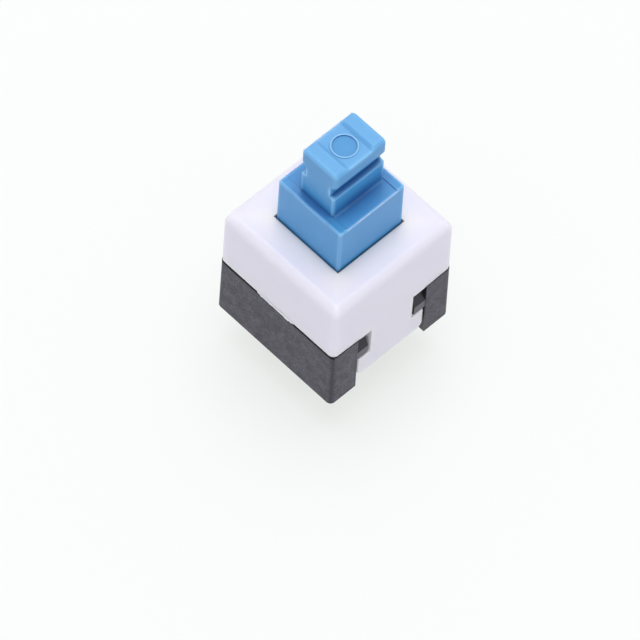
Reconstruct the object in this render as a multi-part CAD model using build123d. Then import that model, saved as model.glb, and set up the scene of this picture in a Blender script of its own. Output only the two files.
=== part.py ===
"""Self-locking pushbutton switch with two change-over poles, standing on six solder pins.

Millimetres, +Z up. The origin is the middle of the base's underside, which is the face that
seats on a circuit board, so the solder pins reach below it. The narrow sides of the stem and
the two closed walls of the base face +Y and -Y, and the two snap legs of the cover face +X
and -X. The button is modelled released.
"""
import os
from math import asin, degrees

from build123d import *

os.makedirs("parts", exist_ok=True)

# Base: a black tub with four corner posts, between which the cover's legs hang
body_width = 8.5
base_height = 4.24
base_floor = 0.8
base_corner_radius = 0.3
base_draft = 0.4
post_width = 1.79
side_wall = 0.45
end_wall = 1.0
rim_rise = 0.3

# Cover: a white cap with a square window and two snap legs
cover_roof = 0.7
cover_wall = 0.65
cover_setback_x = 0.05
cover_setback_y = 0.01
cover_draft = 0.35
cover_corner_radius = 0.35
cover_top_radius = 0.58
cover_top_trim = 0.003
seam_gap = 0.12
seam_depth = 0.3
shadow_gap = 0.04
leg_thickness = 0.55
leg_bottom = 0.72
leg_corner_radius = 0.4
leg_edge_radius = 0.05
notch_height = 1.99
notch_width = 0.845

# Snap teeth on the posts, which hold the legs down
tooth_lip = 0.57
tooth_ramp = 0.92
tooth_ramp_depth = 0.43
tooth_setback = 0.02

# Plunger: button, stem for a cap, collar that stops it, and the carriage inside
travel = 2.5
locked_travel = 1.5
button_width = 4.55
button_rise = 3.26
button_draft = 0.15
button_edge_radius = 0.1
button_top_radius = 0.06
collar_lip = 0.47
collar_thickness = 0.55
stem_length = 3.56
post_thickness = 2.34
post_rise = 1.5
post_edge_radius = 0.06
post_cove = 0.15
ledge_bevel = 0.06
neck_thickness = 1.72
neck_rise = 0.6
undercut_rise = 0.31
head_thickness = 2.47
head_rise = 1.04
head_round = 0.27
head_edge_radius = 0.16
channel_length = 2.0
channel_depth = 0.13
channel_slope = 0.2
mark_diameter = 1.5
mark_line = 0.09
mark_height = 0.03
mark_recess = 0.03
shoulder_step = 0.04
stake_diameter = 0.6
stake_rise = 0.1

# Return spring
spring_diameter = 2.3
spring_wire = 0.25
spring_turns = 7
spring_pocket_depth = 3.05
spring_post_height = 1.2

# Latch: a wire pin that follows the heart-shaped groove, and the folded leaf that presses on it
latch_wire = 0.45
latch_bend = 0.3
latch_pivot_height = 1.2
latch_swing = 0.6
latch_start_rise = 0.6
latch_headroom = 0.63
groove_depth = 0.5
groove_lock_shift = 0.45
groove_lock_drop = 0.15
groove_return_shift = 1.0
groove_return_drop = 0.35
groove_return_rise = 0.9
leaf_thickness = 0.12
leaf_width = 1.2
leaf_bottom = 1.8
leaf_bow = 0.18
leaf_fold_width = 0.2
leaf_fold_radius = 0.09
leaf_touch_radius = 0.6
leaf_tip_rise = 0.3
leaf_tip_kick = 0.08
leaf_headroom = 0.1

# Contacts: six stamped strips with solder pins, and two sprung bridges that wipe them
row_spacing = 5.0
pin_pitch = 2.0
pin_length = 3.0
pin_width = 0.6
pin_taper = 0.4
strip_thickness = 0.3
common_pad_width = 0.9
side_pad_width = 1.1
side_post_width = 0.45
pad_margin = 0.45
strip_headroom = 0.35
rib_width = 0.4
sheet_thickness = 0.12
plate_height = 1.05
finger_width = 0.45
finger_margin = 0.075
finger_rise = 0.42
finger_bow = 0.45
finger_drop = 0.85
finger_flat = 0.12
finger_tip = 0.3
finger_bend = 0.08

# Clearances, how far a feature is sunk into its carrier, and how far a cutter runs past a face
button_gap = 0.06
leg_gap = 0.05
leg_side_gap = 0.14
tooth_side_gap = 0.18
tooth_under_gap = 0.11
rim_gap = 0.05
stop_gap = 0.02
floor_gap = 0.05
groove_gap = 0.08
groove_floor_gap = 0.05
wire_hole_gap = 0.03
shank_gap = 0.145
leaf_gap = 0.025
contact_gap = 0.03
slot_gap = 0.02
stake_gap = 0.02
spring_gap = 0.1
spring_end_gap = 0.02
seat_gap = 0.02
sink = 0.2
cut_over = 1.0

# Plan positions
body_half = body_width / 2
cover_half_x = body_half - cover_setback_x
cover_half_y = body_half - cover_setback_y
cover_inner_x = cover_half_x - cover_wall
cover_inner_y = cover_half_y - cover_wall
leg_inner_x = cover_half_x - leg_thickness
recess_x = leg_inner_x - leg_gap
cavity_x = recess_x - side_wall
cavity_y = body_half - end_wall
post_edge_y = body_half - post_width
leg_edge_y = post_edge_y - leg_side_gap
notch_edge_y = leg_edge_y - notch_width
tooth_edge_y = notch_edge_y + tooth_side_gap
strip_face_y = row_spacing / 2 - strip_thickness / 2
strip_back_y = row_spacing / 2 + strip_thickness / 2
pad_outer_x = pin_pitch + pin_width / 2
pad_inner_x = pad_outer_x - side_pad_width
finger_x = pad_inner_x + finger_margin + finger_width / 2
stake_x = finger_x / 2
carriage_half_y = strip_face_y - contact_gap - finger_bow - sheet_thickness
shank_x = cavity_x - leaf_bow - leaf_thickness - leaf_gap - latch_wire / 2
carriage_half_x = shank_x - latch_wire / 2 - shank_gap
groove_floor_x = carriage_half_x - groove_depth
collar_width = button_width + 2 * collar_lip
pocket_diameter = spring_diameter + 2 * spring_gap

# Heights with the button released
notch_bottom = base_height - notch_height
carriage_bottom = base_floor + floor_gap + travel
latch_leg_z = carriage_bottom + latch_start_rise
collar_pressed = latch_leg_z + latch_headroom
collar_bottom = collar_pressed + travel
collar_top = collar_bottom + collar_thickness
cover_ceiling = collar_top + stop_gap
cover_top = cover_ceiling + cover_roof
button_top = cover_top + button_rise
strip_top = collar_pressed - strip_headroom
contact_z = carriage_bottom + finger_rise
plate_bottom_z = contact_z + finger_drop
plate_middle_z = plate_bottom_z + plate_height / 2
pocket_top = carriage_bottom + spring_pocket_depth
latch_arm = latch_leg_z - latch_pivot_height
latch_rest_angle = degrees(asin(latch_swing / 2 / latch_arm))


def block(x0, x1, y0, y1, z0, z1):
    """A box between two corners."""
    middle = ((x0 + x1) / 2, (y0 + y1) / 2, (z0 + z1) / 2)
    return Pos(*middle) * Box(abs(x1 - x0), abs(y1 - y0), abs(z1 - z0))


def rounded_prism(width_x, width_y, radius, z0, z1, draft):
    """An upright prism with rounded corners, narrowing upwards by the draft angle."""
    prism = extrude(Pos(0, 0, z0) * Rectangle(width_x, width_y), z1 - z0, taper=draft)
    return fillet(prism.edges().group_by(Axis.Z)[1], radius)


def both_sides(solid, plane):
    """A solid and its mirror image."""
    return solid + mirror(solid, about=plane)


def plate_xz(outline, y0, y1):
    """A closed outline of (x, z) points made into a plate between two values of y."""
    face = make_face(Polyline(*[(x, y0, z) for x, z in outline], close=True))
    return extrude(face, amount=abs(y1 - y0), dir=(0, 1 if y1 > y0 else -1, 0))


def bent_strip(plane, points, radius, thickness, width):
    """Sheet bent along a centre line in the plane, as wide as stated to both sides of it."""
    section = trace(FilletPolyline(*points, radius=radius), line_width=thickness)
    return extrude(plane * section, amount=width / 2, both=True)


def snap_tooth():
    """A wedge beside a post: flat underneath, a short upright lip, then a lead-in ramp."""
    lip_x = cover_half_x - tooth_setback
    under_z = notch_bottom + tooth_under_gap
    outline = [
        (recess_x - sink, under_z),
        (lip_x, under_z),
        (lip_x, under_z + tooth_lip),
        (lip_x - tooth_ramp_depth, under_z + tooth_lip + tooth_ramp),
        (recess_x - sink, under_z + tooth_lip + tooth_ramp),
    ]
    return plate_xz(outline, tooth_edge_y, post_edge_y + sink)


def make_base():
    """The tub: drafted walls, a rim inside the cover, open sides for the legs, and the teeth."""
    tub = rounded_prism(body_width, body_width, base_corner_radius, 0, base_height, base_draft)
    rim_x = cover_inner_x - rim_gap
    rim_y = cover_inner_y - rim_gap
    tub += block(-rim_x, rim_x, -rim_y, rim_y, base_floor, base_height + rim_rise)
    recess = block(recess_x, body_half + cut_over, -post_edge_y, post_edge_y,
                   -cut_over, base_height + cut_over)
    tub -= both_sides(recess, Plane.YZ)
    tub -= block(-cavity_x, cavity_x, -cavity_y, cavity_y,
                 base_floor, base_height + rim_rise + cut_over)
    tub += both_sides(both_sides(snap_tooth(), Plane.XZ), Plane.YZ)

    # A rib behind each contact strip, and a slot in the floor for its pin
    rib_top = min(base_height, strip_top)
    slot_thickness = strip_thickness + 2 * slot_gap
    for x in (-pin_pitch, 0, pin_pitch):
        rib = block(x - rib_width / 2, x + rib_width / 2, strip_back_y, cavity_y + sink,
                    base_floor - sink, rib_top)
        slot = Pos(x, row_spacing / 2, 0) * Box(
            pin_width + 2 * slot_gap, slot_thickness, 2 * (base_floor + cut_over))
        tub += both_sides(rib, Plane.XZ)
        tub -= both_sides(slot, Plane.XZ)

    # Post inside the return spring, the latch pin's pivot hole and the seat of its leaf
    post_radius = spring_diameter / 2 - spring_wire - spring_gap
    tub += Pos(0, 0, base_floor + spring_post_height / 2) * Cylinder(post_radius, spring_post_height)
    hole_radius = latch_wire / 2 + wire_hole_gap
    hole = Pos(recess_x, 0, latch_pivot_height) * Rot(0, 90, 0) * Cylinder(hole_radius, 4 * side_wall)
    seat_half = leaf_width / 2 + seat_gap
    leaf_seat = block(cavity_x - sink, cavity_x + leaf_thickness, -seat_half, seat_half,
                      leaf_bottom - seat_gap, base_height + rim_rise + cut_over)
    return tub - hole - leaf_seat


def make_cover():
    """The cap, hollow from below, with its window and the two legs that snap under the teeth."""
    # The rounding is wider than the corners, so it would end in slivers: a hair is planed off its top
    cap = rounded_prism(2 * cover_half_x, 2 * cover_half_y, cover_corner_radius,
                        base_height, cover_top + cover_top_trim, cover_draft)
    cap = fillet(cap.faces().sort_by(Axis.Z)[-1].edges(), cover_top_radius)
    cap -= block(-body_width, body_width, -body_width, body_width, cover_top, cover_top + cut_over)
    cap -= block(-cover_inner_x, cover_inner_x, -cover_inner_y, cover_inner_y,
                 base_height - cut_over, cover_ceiling)
    window_half = button_width / 2 + button_gap
    cap -= block(-window_half, window_half, -window_half, window_half,
                 cover_ceiling - cut_over, cover_top + cut_over)

    # The rim rests on the base along its inner edge only. Outside that the seam is open: widest
    # along the two closed walls and round the corners, and a hair wide beside the legs.
    corner_y = cover_half_y - cover_corner_radius
    bottom, right = base_height - cut_over, body_half + cut_over
    half = [(right, bottom), (right, base_height + seam_gap), (corner_y, base_height + seam_gap),
            (post_edge_y, base_height + shadow_gap)]
    outline = half + [(-y, z) for y, z in reversed(half)]
    relief = extrude(Plane.YZ * make_face(Polyline(*outline, close=True)), right, both=True)
    seat_x, seat_y = cover_half_x - seam_depth, cover_half_y - seam_depth
    cap -= relief - block(-seat_x, seat_x, -seat_y, seat_y, bottom, base_height + cut_over)

    # Each leg hangs between two posts, with a notch at each upper corner for a tooth
    leg = block(leg_inner_x, cover_half_x, -leg_edge_y, leg_edge_y, leg_bottom, base_height + sink)
    leg = fillet(leg.edges().filter_by(Axis.X).group_by(Axis.Z)[0], leg_corner_radius)
    rim = leg.faces().sort_by(Axis.X)[-1].edges()
    leg = fillet([edge for edge in rim if edge.center().Z < base_height], leg_edge_radius)
    notch = block(leg_inner_x - cut_over, cover_half_x + cut_over,
                  notch_edge_y, leg_edge_y + cut_over, notch_bottom, base_height)
    leg -= both_sides(notch, Plane.XZ)
    return cap + both_sides(leg, Plane.YZ)


def make_stem():
    """The T-shaped stem: post, bevelled ledge, neck, undercut and a rounded head for a cap."""
    ledge_z = button_top + post_rise
    neck_foot = ledge_z + ledge_bevel
    neck_top = neck_foot + neck_rise
    lip_z = neck_top + undercut_rise
    head_top = lip_z + head_rise
    half = [
        (post_thickness / 2, button_top - sink),
        (post_thickness / 2, ledge_z),
        (neck_thickness / 2, neck_foot),
        (neck_thickness / 2, neck_top),
        (head_thickness / 2, lip_z),
        (head_thickness / 2, head_top),
    ]
    outline = half + [(-x, z) for x, z in reversed(half)]
    stem = plate_xz(outline, -stem_length / 2, stem_length / 2)
    stem = fillet(stem.edges().filter_by(Axis.Y).group_by(Axis.Z)[-2:], head_round)
    stem = fillet(stem.edges().filter_by(Axis.X).group_by(Axis.Z)[-1], head_edge_radius)
    uprights = stem.edges().filter_by(Axis.Z).group_by(Axis.Z)[0]
    ledges = stem.edges().filter_by(Axis.Y).group_by(Axis.Z)[1]
    stem = fillet(uprights + ledges, post_edge_radius)

    # A cove along the foot of each long side
    foot_z = button_top - shoulder_step
    cove_x = post_thickness / 2 + post_cove
    cove_half = stem_length / 2 - post_edge_radius
    cove = block(post_thickness / 2 - sink, cove_x, -cove_half, cove_half,
                 foot_z - sink, foot_z + post_cove)
    cove -= Pos(cove_x, 0, foot_z + post_cove) * Rot(90, 0, 0) * Cylinder(post_cove, stem_length)
    stem += both_sides(cove, Plane.YZ)

    # Shallow channel across the head with sloping ends, and the ringed disc that an ejector leaves
    floor_z = head_top - channel_depth
    half_top = channel_length / 2
    half_floor = half_top - channel_slope
    trough = [(-half_top, head_top), (-half_floor, floor_z), (half_floor, floor_z),
              (half_top, head_top), (half_top, head_top + sink), (-half_top, head_top + sink)]
    face = make_face(Polyline(*[(-head_thickness, y, z) for y, z in trough], close=True))
    stem -= extrude(face, amount=2 * head_thickness, dir=(1, 0, 0))
    mark_inner = mark_diameter / 2 - mark_line
    stem += extrude(Pos(0, 0, floor_z) * (Circle(mark_diameter / 2) - Circle(mark_inner)), mark_height)
    return stem - Pos(0, 0, floor_z) * Cylinder(mark_inner, 2 * mark_recess)


def heart_groove():
    """Lanes of the latch groove on the +X face, as (y, z) runs of the pin's upper leg."""
    pressed_z = latch_leg_z + travel
    start = (-latch_swing / 2, latch_leg_z)
    pressed = (latch_swing / 2, pressed_z)
    above_locked = (-groove_lock_shift, pressed_z - groove_lock_drop)
    locked = (-groove_lock_shift, latch_leg_z + locked_travel)
    release = (-groove_return_shift, pressed_z - groove_return_drop)
    returning = (-groove_return_shift, latch_leg_z + groove_return_rise)
    route = [start, pressed, above_locked, locked, above_locked, release, returning, start]
    width = latch_wire + 2 * groove_gap
    lanes = Sketch()
    for (y0, z0), (y1, z1) in zip(route, route[1:]):
        run = Vector(y1 - y0, z1 - z0)
        turn = Vector(1, 0).get_signed_angle(run, Vector(0, 0, 1))
        middle = Pos((y0 + y1) / 2, (z0 + z1) / 2)
        lanes += middle * Rot(0, 0, turn) * SlotCenterToCenter(run.length, width)
    face_plane = Plane(origin=(groove_floor_x, 0, 0), x_dir=(0, 1, 0), z_dir=(1, 0, 0))
    return extrude(face_plane * lanes, 2 * groove_depth)


def make_plunger():
    """Button, collar, carriage and stem in one moulding."""
    button = rounded_prism(button_width, button_width, button_edge_radius,
                           collar_bottom, button_top, button_draft)
    button = fillet(button.faces().sort_by(Axis.Z)[-1].edges(), button_top_radius)

    # The mould's side slides leave the shoulders beside the stem a hair low
    shoulder = block(post_thickness / 2, button_width, -stem_length / 2, stem_length / 2,
                     button_top - shoulder_step, button_top + cut_over)
    button -= both_sides(shoulder, Plane.YZ)
    button += make_stem()
    button += block(-collar_width / 2, collar_width / 2, -collar_width / 2, collar_width / 2,
                    collar_bottom, collar_top)
    button += block(-carriage_half_x, carriage_half_x, -carriage_half_y, carriage_half_y,
                    carriage_bottom, collar_bottom + sink)
    pocket_length = spring_pocket_depth + cut_over
    button -= Pos(0, 0, pocket_top - pocket_length / 2) * Cylinder(pocket_diameter / 2, pocket_length)
    button -= heart_groove()

    # Stakes that hold the two moving contacts
    stake = Rot(90, 0, 0) * Cylinder(stake_diameter / 2, 2 * (sheet_thickness + stake_rise))
    for x in (-stake_x, stake_x):
        button += both_sides(Pos(x, carriage_half_y, plate_middle_z) * stake, Plane.XZ)
    return button


def make_moving_contact():
    """A plate staked to the carriage, with three bowed fingers that wipe the fixed strips."""
    plate_half = finger_x + finger_width / 2
    plate = block(-plate_half, plate_half, carriage_half_y, carriage_half_y + sheet_thickness,
                  plate_bottom_z, plate_bottom_z + plate_height)
    hole = Rot(90, 0, 0) * Cylinder(stake_diameter / 2 + stake_gap, cut_over)
    for x in (-stake_x, stake_x):
        plate -= Pos(x, carriage_half_y, plate_middle_z) * hole
    sheet_y = carriage_half_y + sheet_thickness / 2
    bow_y = sheet_y + finger_bow
    wipe_bottom = contact_z - finger_flat / 2
    line = [(sheet_y, plate_bottom_z + sink), (sheet_y, plate_bottom_z),
            (bow_y, contact_z + finger_flat / 2), (bow_y, wipe_bottom),
            (bow_y - finger_tip, wipe_bottom - finger_tip)]
    for x in (-finger_x, 0, finger_x):
        plane = Plane(origin=(x, 0, 0), x_dir=(0, 1, 0), z_dir=(1, 0, 0))
        plate += bent_strip(plane, line, finger_bend, sheet_thickness, finger_width)
    return plate


def make_terminal(kind):
    """A stamped strip: a contact pad inside the base and a tapered solder pin below it."""
    half = strip_thickness / 2
    if kind == "released":
        pin_x = -pin_pitch
        strip = block(-pad_outer_x, -pad_inner_x, -half, half, contact_z - pad_margin, strip_top)
        strip += block(-pad_outer_x, -pad_outer_x + side_post_width, -half, half, base_floor, strip_top)
    elif kind == "common":
        pin_x = 0
        strip = block(-common_pad_width / 2, common_pad_width / 2, -half, half, base_floor, strip_top)
    else:
        pin_x = pin_pitch
        strip = block(pad_inner_x, pad_outer_x, -half, half,
                      base_floor, contact_z - locked_travel + pad_margin)
    right = [
        (pin_width / 2, base_floor),
        (pin_width / 2, pin_taper - pin_length),
        ((pin_width - pin_taper) / 2, -pin_length),
    ]
    outline = right + [(-x, z) for x, z in reversed(right)]
    strip += plate_xz([(pin_x + x, z) for x, z in outline], -half, half)
    return Pos(0, row_spacing / 2, 0) * strip


def make_latch_pin():
    """Round wire bent to a staple: the lower leg turns in the side wall, the upper one is in the groove."""
    path = FilletPolyline(
        (recess_x - floor_gap, 0, latch_pivot_height),
        (shank_x, 0, latch_pivot_height),
        (shank_x, 0, latch_leg_z),
        (groove_floor_x + groove_floor_gap, 0, latch_leg_z),
        radius=latch_bend,
    )
    wire = sweep(Plane(origin=path @ 0, z_dir=path % 0) * Circle(latch_wire / 2), path=path)
    pivot = Axis((0, 0, latch_pivot_height), (1, 0, 0))
    return wire.rotate(pivot, latch_rest_angle)


def make_latch_leaf():
    """Spring strip folded over at the top: its back lies in the wall, its front bears on the latch pin."""
    back_x = cavity_x + leaf_thickness / 2
    fold_x = back_x - leaf_fold_width
    touch_x = shank_x + latch_wire / 2 + leaf_gap + leaf_thickness / 2
    top = base_height - leaf_headroom - leaf_thickness / 2
    line = [(back_x, leaf_bottom), (back_x, top), (fold_x, top),
            (touch_x, (leaf_bottom + top) / 2), (touch_x + leaf_tip_kick, leaf_bottom + leaf_tip_rise)]
    radii = [leaf_fold_radius, leaf_fold_radius, leaf_touch_radius]
    return bent_strip(Plane.XZ, line, radii, leaf_thickness, leaf_width)


def make_return_spring():
    """Round wire coiled between the base's floor and the top of the plunger's pocket."""
    bottom = base_floor + spring_end_gap + spring_wire / 2
    height = pocket_top - spring_end_gap - spring_wire / 2 - bottom
    radius = (spring_diameter - spring_wire) / 2
    path = Pos(0, 0, bottom) * Helix(pitch=height / spring_turns, height=height, radius=radius)
    section = Plane(origin=path @ 0, z_dir=path % 0) * Circle(spring_wire / 2)
    return sweep(section, path=path, is_frenet=True)


nodes = {
    "base": make_base(),
    "cover": make_cover(),
    "plunger": make_plunger(),
    "return_spring": make_return_spring(),
    "latch_pin": make_latch_pin(),
    "latch_leaf": make_latch_leaf(),
    "moving_contact_rear": make_moving_contact(),
}
nodes["moving_contact_front"] = mirror(nodes["moving_contact_rear"], about=Plane.XZ)
for kind in ("released", "common", "pressed"):
    strip = make_terminal(kind)
    nodes[f"terminal_rear_{kind}"] = strip
    nodes[f"terminal_front_{kind}"] = mirror(strip, about=Plane.XZ)

for name, shape in nodes.items():
    export_step(shape, f"parts/{name}.step")
    print(f"{name}: {shape.volume:.3f} mm3")
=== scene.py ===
"""A self-locking pushbutton switch: black base, white cover, blue plunger, six solder pins.

Metres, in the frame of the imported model: +Z up, the origin in the middle of the base's
underside, the cover's snap legs towards +X and -X. Sizes are written in millimetres, and mm
turns them to metres.
"""

import math

import bpy
import numpy as np
from mathutils import Matrix, Vector


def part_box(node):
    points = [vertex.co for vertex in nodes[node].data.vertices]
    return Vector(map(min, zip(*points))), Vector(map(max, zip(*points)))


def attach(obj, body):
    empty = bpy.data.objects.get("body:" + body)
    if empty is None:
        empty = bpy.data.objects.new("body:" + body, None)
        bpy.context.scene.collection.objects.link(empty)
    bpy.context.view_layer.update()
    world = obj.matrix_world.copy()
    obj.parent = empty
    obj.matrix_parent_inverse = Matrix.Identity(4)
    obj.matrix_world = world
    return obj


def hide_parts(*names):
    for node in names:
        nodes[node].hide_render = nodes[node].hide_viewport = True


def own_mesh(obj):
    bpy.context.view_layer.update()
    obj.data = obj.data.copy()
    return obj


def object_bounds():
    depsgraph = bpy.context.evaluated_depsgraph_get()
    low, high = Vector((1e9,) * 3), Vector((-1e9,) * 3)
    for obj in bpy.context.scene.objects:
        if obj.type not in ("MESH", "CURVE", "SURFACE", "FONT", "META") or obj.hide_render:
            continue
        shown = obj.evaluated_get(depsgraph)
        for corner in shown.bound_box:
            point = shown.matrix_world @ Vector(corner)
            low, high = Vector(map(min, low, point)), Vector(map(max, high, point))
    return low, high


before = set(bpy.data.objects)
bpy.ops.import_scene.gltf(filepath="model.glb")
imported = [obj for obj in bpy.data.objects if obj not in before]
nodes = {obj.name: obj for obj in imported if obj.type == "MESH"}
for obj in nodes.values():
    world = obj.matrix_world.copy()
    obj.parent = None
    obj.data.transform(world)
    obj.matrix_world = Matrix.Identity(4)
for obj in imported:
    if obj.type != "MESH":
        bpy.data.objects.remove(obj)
cad_low, cad_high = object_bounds()
mm = 0.001


# Contact strips. Six strips are stamped from tin-plated brass 0.3 mm thick. Each stands in the
# base with a contact pad at its top, and ends below the base in a tapered solder pin.
def linear(code):
    """An sRGB hex colour as linear red, green, blue and alpha."""
    parts = np.array([int(code[i:i + 2], 16) for i in (1, 3, 5)]) / 255
    light = np.where(parts <= 0.04045, parts / 12.92, ((parts + 0.055) / 1.055) ** 2.4)
    return (*light.tolist(), 1.0)


def add(tree, kind, sockets=None, **settings):
    """Adds a node. sockets maps an input to its value, to the output that feeds it, or to a
    node, whose first output in use then feeds it."""
    made = tree.nodes.new("ShaderNode" + kind)
    for name, value in settings.items():
        setattr(made, name, value)
    for name, value in (sockets or {}).items():
        if isinstance(value, bpy.types.Node):
            value = next(output for output in value.outputs if output.enabled)
        if isinstance(value, bpy.types.NodeSocket):
            tree.links.new(value, made.inputs[name])
        else:
            made.inputs[name].default_value = value
    return made


# The inputs of Mix and Map Range share their names, so they are called by number:
# those of a mix of two colours, and those of a measure that is turned into another range
share, first, second = 0, 6, 7
measure, at_low, at_high, low_gives, high_gives = range(5)


def start_material(name):
    """A new material, its emptied node tree, and the Object coordinates in it."""
    material = bpy.data.materials.new(name)
    material.use_nodes = True
    tree = material.node_tree
    tree.nodes.clear()
    return material, tree, add(tree, "TexCoord").outputs["Object"]


def give(material, names):
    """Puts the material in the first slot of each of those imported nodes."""
    for name in names:
        nodes[name].material_slots[0].material = material


streak_width = 0.06 * mm
streak_stretch = 0.08
sheared_from = 0.6

# Tin-plated brass: the rolled faces are silvery with fine streaks along the strip, and the
# sheared edges, which face +X and -X, show the yellow brass
tin, tree, place = start_material("tin_plated_brass")
along_strip = add(tree, "Mapping", {"Vector": place, "Scale": (1, 1, streak_stretch)})
streaks = add(tree, "TexNoise", {"Vector": along_strip, "Scale": 1 / streak_width, "Detail": 3.0})
facing = add(tree, "SeparateXYZ", {0: add(tree, "NewGeometry").outputs["True Normal"]})
sideways = add(tree, "Math", {0: facing.outputs["X"]}, operation="ABSOLUTE")
sheared = add(tree, "Math", {0: sideways, 1: sheared_from}, operation="GREATER_THAN")
plating = add(tree, "Mix", {share: streaks, first: linear("#B9B8B4"), second: linear("#DEDDD9")},
              data_type="RGBA")
metal = add(tree, "Mix", {share: sheared, first: plating, second: linear("#C9A45C")}, data_type="RGBA")
rough = add(tree, "MapRange", {measure: streaks, low_gives: 0.28, high_gives: 0.48})
shader = add(tree, "BsdfPrincipled", {"Base Color": metal, "Metallic": 1.0, "Roughness": rough})
add(tree, "OutputMaterial", {"Surface": shader})
give(tin, [name for name in nodes if name.startswith("terminal_")])


# Base. The tub is one moulding of black glass-filled PBT, with four corner posts. The cover's
# legs hang between the posts, and wedge-shaped teeth on the posts hold them down.
def spread(tree, place):
    """How far a point lies from the middle along X and along Y, and its height."""
    axes = add(tree, "SeparateXYZ", {0: place})
    x_out = add(tree, "Math", {0: axes.outputs["X"]}, operation="ABSOLUTE")
    y_out = add(tree, "Math", {0: axes.outputs["Y"]}, operation="ABSOLUTE")
    return x_out, y_out, axes.outputs["Z"]


def beyond_square(tree, spot, inner, outer, draft=0.0):
    """0 within an upright square of half width inner, and 1 from half width outer on. Both
    widths shrink with the height by the draft, which is the tangent of its angle."""
    x_out, y_out, z = spot
    far = add(tree, "Math", {0: x_out, 1: y_out}, operation="MAXIMUM")
    level = add(tree, "Math", {0: z, 1: draft, 2: far}, operation="MULTIPLY_ADD")
    return add(tree, "MapRange", {measure: level, at_low: inner, at_high: outer})


base_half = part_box("base")[1].x
draft = math.tan(math.radians(0.4))
flat_within = 0.01 * mm
polished_from = 0.065 * mm
mottle_size = 0.55 * mm

# Glass-filled PBT: the flat sides took the spark-eroded skin of the mould, and look matt,
# greyish and mottled, with a few pale fibre ends. The rounded corners and the ramps of the
# teeth came from polished steel, and look darker and glossier.
pbt, tree, place = start_material("black_glass_filled_pbt")
spot = spread(tree, place)
x_out, y_out, z = spot
skinned = beyond_square(tree, spot, base_half - polished_from, base_half - flat_within, draft)
mottle = add(tree, "TexNoise", {"Vector": place, "Scale": 1 / mottle_size, "Detail": 5.0,
                                "Roughness": 0.65, "Distortion": 0.6})

# The lips of the teeth lie between the posts, and have the skin too, a little paler
lip_x = 4.17 * mm
post_y = 2.47 * mm
far_out = add(tree, "Math", {0: x_out, 1: lip_x}, operation="GREATER_THAN")
between_posts = add(tree, "Math", {0: y_out, 1: post_y}, operation="LESS_THAN")
on_lip = add(tree, "Math", {0: far_out, 1: between_posts}, operation="MULTIPLY")
skinned = add(tree, "Math", {0: skinned, 1: on_lip}, operation="MAXIMUM")

# The fibres are 0.01 mm thick, too fine to show, so they are drawn 13 times as coarse
fibre_width = 0.13 * mm
fibre_flattening = 2.2
fibre_tilt = (0.4, 0.5, 0)
fibre_ends_apart = 0.6 * mm
lie = add(tree, "Mapping", {"Vector": place, "Scale": (1, 1, fibre_flattening),
                            "Rotation": fibre_tilt})
fibre = add(tree, "TexNoise", {"Vector": lie, "Scale": 1 / fibre_width, "Detail": 2.0})
patchy = add(tree, "Math", {0: mottle, 1: fibre}, operation="MULTIPLY")
shade = add(tree, "MapRange", {measure: patchy, at_low: 0.16, at_high: 0.36})
grey = add(tree, "Mix", {share: shade, first: linear("#23212A"), second: linear("#534F5B")},
           data_type="RGBA")
ends = add(tree, "TexVoronoi", {"Vector": place, "Scale": 1 / fibre_ends_apart})
pale = add(tree, "MapRange", {measure: ends, at_low: 0.05, at_high: 0.09, low_gives: 0.8,
                              high_gives: 0.0})
grey = add(tree, "Mix", {share: pale, first: grey, second: linear("#6E6968")}, data_type="RGBA")
resin = add(tree, "Mix", {share: skinned, first: linear("#1B1A20"), second: grey}, data_type="RGBA")
resin = add(tree, "Mix", {share: on_lip, first: resin, second: linear("#5E5A60")}, data_type="RGBA")

# A wavering line along the top of the +Y and -Y sides, in the open seam, is painted near black as the
# seam's shadow
base_top = 4.24 * mm
waver = 0.3 * mm
wavy_z = add(tree, "Math", {0: mottle, 1: waver, 2: z}, operation="MULTIPLY_ADD")
seam_shadow = add(tree, "MapRange", {measure: wavy_z, at_low: base_top, at_high: base_top + 0.04 * mm})
closed_side = add(tree, "MapRange", {measure: y_out, at_low: base_half - 0.2 * mm,
                                     at_high: base_half - 0.1 * mm})
seam_shadow = add(tree, "Math", {0: seam_shadow, 1: closed_side}, operation="MULTIPLY")
# Painted shadow: the seam's line is painted near black
resin = add(tree, "Mix", {share: seam_shadow, first: resin, second: linear("#0B0A0D")}, data_type="RGBA")
rough = add(tree, "MapRange", {measure: skinned, low_gives: 0.34, high_gives: 0.5})
rough = add(tree, "MapRange", {measure: seam_shadow, low_gives: rough, high_gives: 0.9})
relief = add(tree, "Math", {0: patchy, 1: skinned}, operation="MULTIPLY")
grain = add(tree, "Bump", {"Height": relief, "Distance": 0.012 * mm, "Strength": 0.6})
shader = add(tree, "BsdfPrincipled", {
    "Base Color": resin, "Roughness": rough, "IOR": 1.55, "Specular Tint": linear("#E2DDF2"),
    "Normal": grain})
add(tree, "OutputMaterial", {"Surface": shader})
give(pbt, ["base"])


# Latch. The pin is bent from hard-drawn steel wire, and its upper end follows the groove in
# the plunger. The leaf, folded from spring strip, keeps it in the groove.
drawn_grain = 0.08 * mm

# Drawn spring steel: bright, with a fine unevenness in its gloss from the drawing
steel, tree, place = start_material("drawn_spring_steel")
drawn = add(tree, "TexNoise", {"Vector": place, "Scale": 1 / drawn_grain, "Detail": 2.0})
rough = add(tree, "MapRange", {measure: drawn, low_gives: 0.22, high_gives: 0.38})
shader = add(tree, "BsdfPrincipled", {"Base Color": linear("#B4B4B6"), "Metallic": 1.0,
                                      "Roughness": rough})
add(tree, "OutputMaterial", {"Surface": shader})
give(steel, ["latch_pin", "latch_leaf"])


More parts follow.
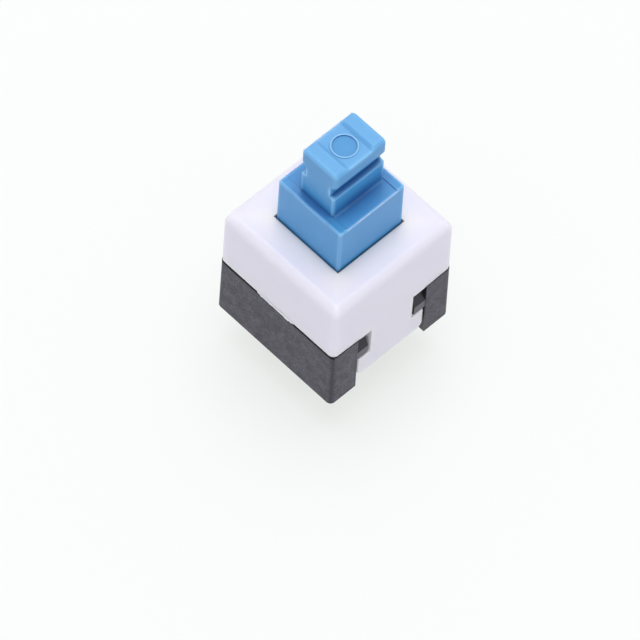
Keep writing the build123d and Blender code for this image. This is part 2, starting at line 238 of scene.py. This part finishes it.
# Return spring. Seven turns of the same bright wire stand between the base's floor and the top
# of the plunger's pocket. The first and last turns are closed, lying against the next.
def skin(name, rings, material, body):
    """A closed piece from an array of rings: each ring of points joins the next one by quads,
    and a fan to its middle closes each end. Seen from ahead, a ring runs anticlockwise."""
    count, around = rings.shape[:2]
    points = np.concatenate([rings.reshape(-1, 3), rings[[0, -1]].mean(axis=1)])
    here = np.arange(around)
    onward = (here + 1) % around
    row = np.arange(count - 1)[:, None] * around
    sides = np.stack([row + here, row + onward, row + around + onward, row + around + here], axis=-1)
    last = (count - 1) * around
    first_middle = np.full(around, count * around)
    first_fan = np.stack([first_middle, onward, here], axis=-1)
    last_fan = np.stack([first_middle + 1, last + here, last + onward], axis=-1)
    faces = sides.reshape(-1, 4).tolist() + first_fan.tolist() + last_fan.tolist()
    mesh = bpy.data.meshes.new(name)
    mesh.from_pydata(points.tolist(), [], faces)
    mesh.polygons.foreach_set("use_smooth", np.arange(len(faces)) < (count - 1) * around)
    mesh.materials.append(material)
    piece = bpy.data.objects.new(name, mesh)
    bpy.context.scene.collection.objects.link(piece)
    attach(piece, body)
    return piece


def coil(radius, wire, bottom, top, turns):
    """Rings of a wound wire: its middle goes round at the radius. It rises by a little more
    than the wire's thickness in the first turn and in the last, and evenly between them, and a
    running mean over half a turn rounds that off. Each ring is a circle across the wire."""
    steps_a_turn = 28
    mean_over = 13
    closed_rise = 1.04 * wire
    turn = np.linspace(0, turns, steps_a_turn * turns + 1)
    rise = np.interp(turn, [0, 1, turns - 1, turns],
                     [bottom, bottom + closed_rise, top - closed_rise, top])
    rise = np.pad(rise, mean_over // 2, mode="edge")
    rise = np.convolve(rise, np.ones(mean_over) / mean_over, mode="valid")
    angle = 2 * np.pi * turn
    middle = np.stack([radius * np.cos(angle), radius * np.sin(angle), rise], axis=-1)
    ahead = np.gradient(middle, axis=0)
    ahead /= np.linalg.norm(ahead, axis=1, keepdims=True)
    outward = np.stack([np.cos(angle), np.sin(angle), np.zeros_like(angle)], axis=-1)
    upward = np.cross(ahead, outward)
    outward = np.cross(upward, ahead)
    about = np.linspace(0, 2 * np.pi, 12, endpoint=False)[:, None]
    across = np.cos(about) * outward[:, None] + np.sin(about) * upward[:, None]
    return middle[:, None] + wire / 2 * across


spring_wire = 0.25 * mm
spring_radius = 1.025 * mm
base_floor = 0.8 * mm
pocket_top = 6.4 * mm
end_gap = 0.02 * mm
spring_bottom = base_floor + end_gap + spring_wire / 2
spring_top = pocket_top - end_gap - spring_wire / 2
spring_rings = coil(spring_radius, spring_wire, spring_bottom, spring_top, turns=7)
spring = skin("wound_return_spring", spring_rings, steel, "housing")
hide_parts("return_spring")

# With the button pressed by its full 2.5 mm, the spring keeps 0.55 of its 5.56 mm
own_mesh(spring)


# Moving contacts. Each is blanked from bronze sheet 0.12 mm thick, bowed, and staked to a side
# of the plunger, and its three fingers wipe the strips of one pole.
tarnish_size = 0.4 * mm

# Silver plate on bronze: bright and slightly yellow, clouded by tarnish
silver, tree, place = start_material("silver_plated_bronze")
tarnish = add(tree, "TexNoise", {"Vector": place, "Scale": 1 / tarnish_size, "Detail": 3.0})
sheet = add(tree, "Mix", {share: tarnish, first: linear("#B8AE98"), second: linear("#E2DED2")},
            data_type="RGBA")
shader = add(tree, "BsdfPrincipled", {"Base Color": sheet, "Metallic": 1.0, "Roughness": 0.32})
add(tree, "OutputMaterial", {"Surface": shader})
give(silver, ["moving_contact_rear", "moving_contact_front"])


# Cover. The cap and its two snap legs are one moulding of white ABS. It is pushed down over
# the base until the notches of its legs catch under the teeth.
def edges(tree, width):
    """1 along outer edges and 0 a width away from them: how much of a short ray cast inwards
    soon leaves the piece again."""
    inner = add(tree, "AmbientOcclusion", {"Distance": width}, inside=True, only_local=True,
                samples=8)
    return add(tree, "MapRange", {measure: inner.outputs["AO"], at_low: 0.95, at_high: 0.45})


window_half = 2.36 * mm
lit_ring_width = 1.3 * mm
wall_within = 0.02 * mm
cloud_size = 2.5 * mm

# ABS from a polished mould: smooth, satin, a little translucent and faintly lilac. Its thin
# edges are painted paler as a highlight, a ring round the window is painted lighter and warmer
# against the button's shade, and the window's walls are painted darker and brownish, as the
# shade of the narrow gap and for the plunger's rubbing.
abs_white, tree, place = start_material("white_abs")
spot = spread(tree, place)
cloud = add(tree, "TexNoise", {"Vector": place, "Scale": 1 / cloud_size, "Detail": 2.0})
white = add(tree, "Mix", {share: cloud, first: linear("#E6E2F0"), second: linear("#EAE6F4")},
            data_type="RGBA")
# Painted highlight: the thin edges are painted paler
white = add(tree, "Mix", {share: edges(tree, 0.3 * mm), first: white, second: linear("#F6F3FB")},
            data_type="RGBA")
# Painted light: a ring round the window is painted lighter and warmer, against the button's shade
off_lit_ring = beyond_square(tree, spot, window_half, window_half + lit_ring_width)
white = add(tree, "Mix", {share: off_lit_ring, first: linear("#F8F1F5"), second: white}, data_type="RGBA")
# Painted shade: the window's walls are painted darker and brownish, for the shade of the narrow gap
# and the plunger's rubbing
off_shaded_wall = beyond_square(tree, spot, window_half, window_half + wall_within)
white = add(tree, "Mix", {share: off_shaded_wall, first: linear("#A3989A"), second: white}, data_type="RGBA")
shader = add(tree, "BsdfPrincipled", {
    "Base Color": white, "Roughness": 0.4, "IOR": 1.53,
    "Subsurface Weight": 0.7, "Subsurface Radius": (1.0, 0.95, 0.9), "Subsurface Scale": 0.6 * mm})
add(tree, "OutputMaterial", {"Surface": shader})
give(abs_white, ["cover"])


# Flash of the cover. Along the middle of the -Y seam a ragged film of the same ABS ran out
# between the halves of the mould. It hangs from the cover's rim over the top of the base.
def wander(along, seed, longest, waves=12):
    """A ragged line between -1 and 1: sines of ever shorter wavelength and lower height, with
    drawn phases, added up over the distance along."""
    draw = np.random.default_rng(seed)
    order = np.arange(1, waves + 1)[:, None]
    phase = draw.uniform(0, 2 * np.pi, (waves, 1))
    total = (np.sin(2 * np.pi * order * along / longest + phase) / order ** 0.6).sum(axis=0)
    return total / np.abs(total).max()


def film(along, low, high, outer, thickness):
    """Rings of a thin film that hangs along X: each is a flat ellipse in an upright plane across
    X, from low to high in Z, and the film's thickness wide about outer in Y."""
    about = np.linspace(0, 2 * np.pi, 10, endpoint=False)[None]
    y = outer + thickness / 2 * np.cos(about)
    z = ((high + low) / 2)[:, None] + ((high - low) / 2)[:, None] * np.sin(about)
    return np.stack(np.broadcast_arrays(along[:, None], y, z), axis=-1)


rim_z = 4.375 * mm
film_y = -4.238 * mm
film_thickness = 0.02 * mm
patch_size = 0.15 * mm

# The course along X is in millimetres. The film hangs deepest between its tapered ends
run = np.linspace(-1.4, 1.3, 240)
ragged = 0.5 + 0.5 * wander(run, seed=4, longest=2.2)
taper = np.clip(np.minimum(run + 1.45, 1.35 - run) / 0.5, 0, 1) ** 0.5
hang = (0.03 + 0.13 * taper + 0.09 * taper * ragged ** 2) * mm
seam_film = film(run * mm, rim_z - hang, np.full_like(run, rim_z), film_y, film_thickness)

# The same ABS as a thin film: white, and greyish in small patches where it lets the base show
thin_abs, tree, place = start_material("thin_abs_film")
cloud = add(tree, "TexNoise", {"Vector": place, "Scale": 1 / patch_size, "Detail": 2.0})
tone = add(tree, "Mix", {share: cloud, first: linear("#D8D6E4"), second: linear("#FAF8FE")},
           data_type="RGBA")
shader = add(tree, "BsdfPrincipled", {"Base Color": tone, "Roughness": 0.45, "IOR": 1.53})
add(tree, "OutputMaterial", {"Surface": shader})
skin("seam_flash", seam_film, thin_abs, "housing")


# Plunger. The button, the stem for a push-on cap and the carriage inside are one moulding of
# blue acetal, which slides up and down in the cover's window.
stem_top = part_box("plunger")[1].z
channel_floor = stem_top - 0.13 * mm
button_top = 11.61 * mm
button_half = 2.275 * mm
stem_x = 1.17 * mm
mark_inside = 0.66 * mm
cloud_size = 1.2 * mm

# Acetal: satin and slightly waxy, with a painted highlight along its thin edges and a painted
# sheen on the top of the stem, and painted shade in its corners, which are also less glossy
acetal, tree, place = start_material("blue_acetal")
spot = spread(tree, place)
x_out, y_out, z = spot
cloud = add(tree, "TexNoise", {"Vector": place, "Scale": 1 / cloud_size, "Detail": 3.0})
blue = add(tree, "Mix", {share: cloud, first: linear("#3A8FCD"), second: linear("#489BD8")},
           data_type="RGBA")

# The painted sheen on the stem's top leaves out the sunk middle of the round mark
flattened = add(tree, "Mapping", {"Vector": place, "Scale": (1, 1, 0)})
from_axis = add(tree, "VectorMath", {0: flattened}, operation="LENGTH")
off_mark = add(tree, "MapRange", {measure: from_axis, at_low: mark_inside - 0.02 * mm,
                                  at_high: mark_inside + 0.02 * mm})
on_top = add(tree, "MapRange", {measure: z, at_low: channel_floor - 0.14 * mm,
                                at_high: channel_floor - 0.01 * mm, high_gives: 0.42})
painted_top_sheen = add(tree, "Math", {0: on_top, 1: off_mark}, operation="MULTIPLY")
# Painted sheen: the top of the stem is painted paler
blue = add(tree, "Mix", {share: painted_top_sheen, first: blue, second: linear("#7CBEF2")}, data_type="RGBA")

# The shade in the corners above the button's top, and low on the wide sides of the stem, where
# it is deepest in their middle and runs out over the button's top
corner = add(tree, "AmbientOcclusion", {"Distance": 1.6 * mm}, only_local=True, samples=8)
painted_shade = add(tree, "MapRange", {measure: corner.outputs["AO"], at_low: 0.95, at_high: 0.45,
                              high_gives: 0.9})
foot = add(tree, "MapRange", {measure: z, at_low: button_top + 0.04 * mm,
                              at_high: button_top + 1.09 * mm, low_gives: 1.0, high_gives: 0.0})
beside_foot = add(tree, "MapRange", {measure: x_out, at_low: stem_x + 0.13 * mm,
                                     at_high: stem_x + 0.58 * mm, low_gives: 1.0, high_gives: 0.0})
middle = add(tree, "MapRange", {measure: y_out, at_low: 0.5 * mm, at_high: 1.75 * mm,
                                low_gives: 0.9, high_gives: 0.35})
on_side = add(tree, "MapRange", {measure: x_out, at_low: stem_x - 0.07 * mm,
                                 at_high: stem_x - 0.01 * mm})
for limit in (beside_foot, middle, on_side):
    foot = add(tree, "Math", {0: foot, 1: limit}, operation="MULTIPLY")
painted_shade = add(tree, "Math", {0: painted_shade, 1: foot}, operation="MAXIMUM")
above = add(tree, "MapRange", {measure: z, at_low: button_top - 0.31 * mm,
                               at_high: button_top - 0.01 * mm})
painted_shade = add(tree, "Math", {0: painted_shade, 1: above}, operation="MULTIPLY")
# Painted shade: the corners and the stem's foot are painted a deeper blue
blue = add(tree, "Mix", {share: painted_shade, first: blue, second: linear("#12549A")}, data_type="RGBA")

# The painted edge highlight leaves out the shaded corners, and the small step on the button's top
bare = add(tree, "MapRange", {measure: corner.outputs["AO"], at_low: 0.35, at_high: 0.6})
painted_edge_highlight = add(tree, "Math", {0: edges(tree, 0.25 * mm), 1: bare}, operation="MULTIPLY")
on_stem = add(tree, "Math", {0: z, 1: button_top + 0.03 * mm}, operation="GREATER_THAN")
on_button = add(tree, "Math", {0: z, 1: button_top - 0.11 * mm}, operation="LESS_THAN")
on_border = beyond_square(tree, spot, button_half - 0.175 * mm, button_half - 0.075 * mm)
kept = add(tree, "Math", {0: on_stem, 1: on_button}, operation="MAXIMUM")
kept = add(tree, "Math", {0: kept, 1: on_border}, operation="MAXIMUM")
painted_edge_highlight = add(tree, "Math", {0: painted_edge_highlight, 1: kept}, operation="MULTIPLY")
# Painted highlight: the thin edges are painted paler blue
blue = add(tree, "Mix", {share: painted_edge_highlight, first: blue, second: linear("#8EC8F4")}, data_type="RGBA")
rough = add(tree, "MapRange", {measure: painted_shade, low_gives: 0.34, high_gives: 0.6})
shader = add(tree, "BsdfPrincipled", {
    "Base Color": blue, "Roughness": rough, "IOR": 1.55,
    "Subsurface Weight": 0.3, "Subsurface Radius": (0.5, 0.8, 1.0), "Subsurface Scale": 0.2 * mm})
add(tree, "OutputMaterial", {"Surface": shader})
give(acetal, ["plunger"])


# Flash of the plunger. Fine ragged threads of acetal stand where the mould's slides met it: on
# the button's +X top edge, its -X top edge, and the head's -X edge.
def ridge(along, x, z, thickness):
    """Rings of a ragged thread along Y: each is a small circle, and x, z and its thickness
    change along it."""
    about = np.linspace(0, 2 * np.pi, 8, endpoint=False)[None]
    x_round = x[:, None] + thickness[:, None] / 2 * np.sin(about)
    z_round = z[:, None] + thickness[:, None] / 2 * np.cos(about)
    return np.stack(np.broadcast_arrays(x_round, along[:, None], z_round), axis=-1)


patch_size = 0.2 * mm

# Acetal whitened by the strain of tearing, and painted paler still as the edges' highlight: chalky,
# white to pale blue in small patches
whitened_with_highlight, tree, place = start_material("stress_whitened_acetal_and_highlight")
cloud = add(tree, "TexNoise", {"Vector": place, "Scale": 1 / patch_size, "Detail": 2.0})
tone = add(tree, "Mix", {share: cloud, first: linear("#ADC6EF"), second: linear("#DFDFF6")},
           data_type="RGBA")
shader = add(tree, "BsdfPrincipled", {"Base Color": tone, "Roughness": 0.5, "IOR": 1.48})
add(tree, "OutputMaterial", {"Surface": shader})

# Each thread's place, how far it reaches towards +Y and -Y, and its thickness, in millimetres
for name, x, z, reach, thickness, seed in (
        ("button_front_flash", 2.25, 11.572, 1.8, 0.05, 11),
        ("button_back_flash", -2.245, 11.59, 2.15, 0.05, 12),
        ("head_back_flash", -1.195, 14.985, 1.68, 0.1, 13)):
    along = np.linspace(-reach, reach, 160)
    ragged = wander(along, seed, longest=2.6)
    uneven = 0.65 + 0.45 * wander(along, seed + 10, longest=1.3)
    thread = ridge(along * mm, (x + 0.006 * ragged) * mm, np.full_like(along, z * mm),
                   thickness * uneven * mm)
    skin(name, thread, whitened_with_highlight, "button")


# Studio. A pale floor lies under the pins, and an even white surround and a broad lamp overhead
# light the switch. A weaker lamp behind it gives the top faces their sheen.
def seen(tree):
    """1 for rays that show a surface to the camera, straight, mirrored or through glass."""
    ray = add(tree, "LightPath")
    shown = add(tree, "Math", {0: ray.outputs["Is Camera Ray"], 1: ray.outputs["Is Glossy Ray"]},
                operation="MAXIMUM")
    return add(tree, "Math", {0: shown, 1: ray.outputs["Is Transmission Ray"]}, operation="MAXIMUM")


floor_z = cad_low.z
floor_reach = 2.0
lift = 0.72
corners = np.array([(-1, -1), (1, -1), (1, 1), (-1, 1)]) * floor_reach
floor_mesh = bpy.data.meshes.new("floor")
floor_mesh.from_pydata([(x, y, floor_z) for x, y in corners], [], [(0, 1, 2, 3)])
floor = bpy.data.objects.new("floor", floor_mesh)
bpy.context.scene.collection.objects.link(floor)

# White paper: plain and matt, lifted towards white where it is seen, and it keeps the shadow
paper, tree = start_material("white_paper")[:2]
bounce = add(tree, "BsdfDiffuse", {"Color": linear("#FBFCFF")})
glow = add(tree, "Emission", {"Color": linear("#F8FBF8"), "Strength": 1.0})
lifted = add(tree, "Math", {0: seen(tree), 1: lift}, operation="MULTIPLY")
add(tree, "OutputMaterial", {"Surface": add(tree, "MixShader", {0: lifted, 1: bounce, 2: glow})})
floor_mesh.materials.append(paper)

# The surround lights at sky_strength, and is white where it is seen
sky_strength = 0.64
world = bpy.data.worlds.new("surround")
bpy.context.scene.world = world
world.use_nodes = True
tree = world.node_tree
background = tree.nodes["Background"]
background.inputs["Color"].default_value = linear("#FDFFFD")
strength = add(tree, "MapRange", {measure: seen(tree), low_gives: sky_strength, high_gives: 1.0})
tree.links.new(strength.outputs["Result"], background.inputs["Strength"])

lamp_size = 0.4
lamp_distance = 0.5
for name, towards, energy in (("softbox", (0, 0, 1), 1.08),
                              ("back_light", (-0.366, 0.398, 0.841), 0.28)):
    lamp_data = bpy.data.lights.new(name, "AREA")
    lamp_data.shape = "DISK"
    lamp_data.size = lamp_size
    lamp_data.energy = energy
    lamp = bpy.data.objects.new(name, lamp_data)
    lamp.location = lamp_distance * Vector(towards)
    lamp.rotation_euler = (-lamp.location).to_track_quat("-Z", "Y").to_euler()
    bpy.context.scene.collection.objects.link(lamp)


# Camera. A long lens looks down on the corner between the -Y and +X sides. Its angles are in
# radians. The picture is image_pixels wide, and in it the origin lies origin_right of the
# middle and origin_below it, in pixels.
azimuth = 0.7433
elevation = 0.9991
roll = -0.0726
image_pixels = 640.0
focal_pixels = 8000.0
pixels_per_mm = 19.3016
origin_right = 12.4046
origin_below = -12.5807
forward = Vector((-math.sin(azimuth) * math.cos(elevation),
                  math.cos(azimuth) * math.cos(elevation), -math.sin(elevation)))
level = Vector((math.cos(azimuth), math.sin(azimuth), 0))
upright = level.cross(forward)
right = math.cos(roll) * level - math.sin(roll) * upright
up = math.sin(roll) * level + math.cos(roll) * upright
pixel = mm / pixels_per_mm
seat = pixel * (origin_below * up - origin_right * right - focal_pixels * forward)
camera_data = bpy.data.cameras.new("camera")
camera_data.sensor_width = 36.0
camera_data.lens = focal_pixels / image_pixels * camera_data.sensor_width
camera_data.clip_start = 0.05
camera_data.clip_end = 10.0
camera = bpy.data.objects.new("camera", camera_data)
camera.matrix_world = Matrix((right, up, -forward)).transposed().to_4x4()
camera.location = seat
bpy.context.scene.collection.objects.link(camera)
bpy.context.scene.camera = camera
bpy.context.scene.view_settings.view_transform = "Standard"
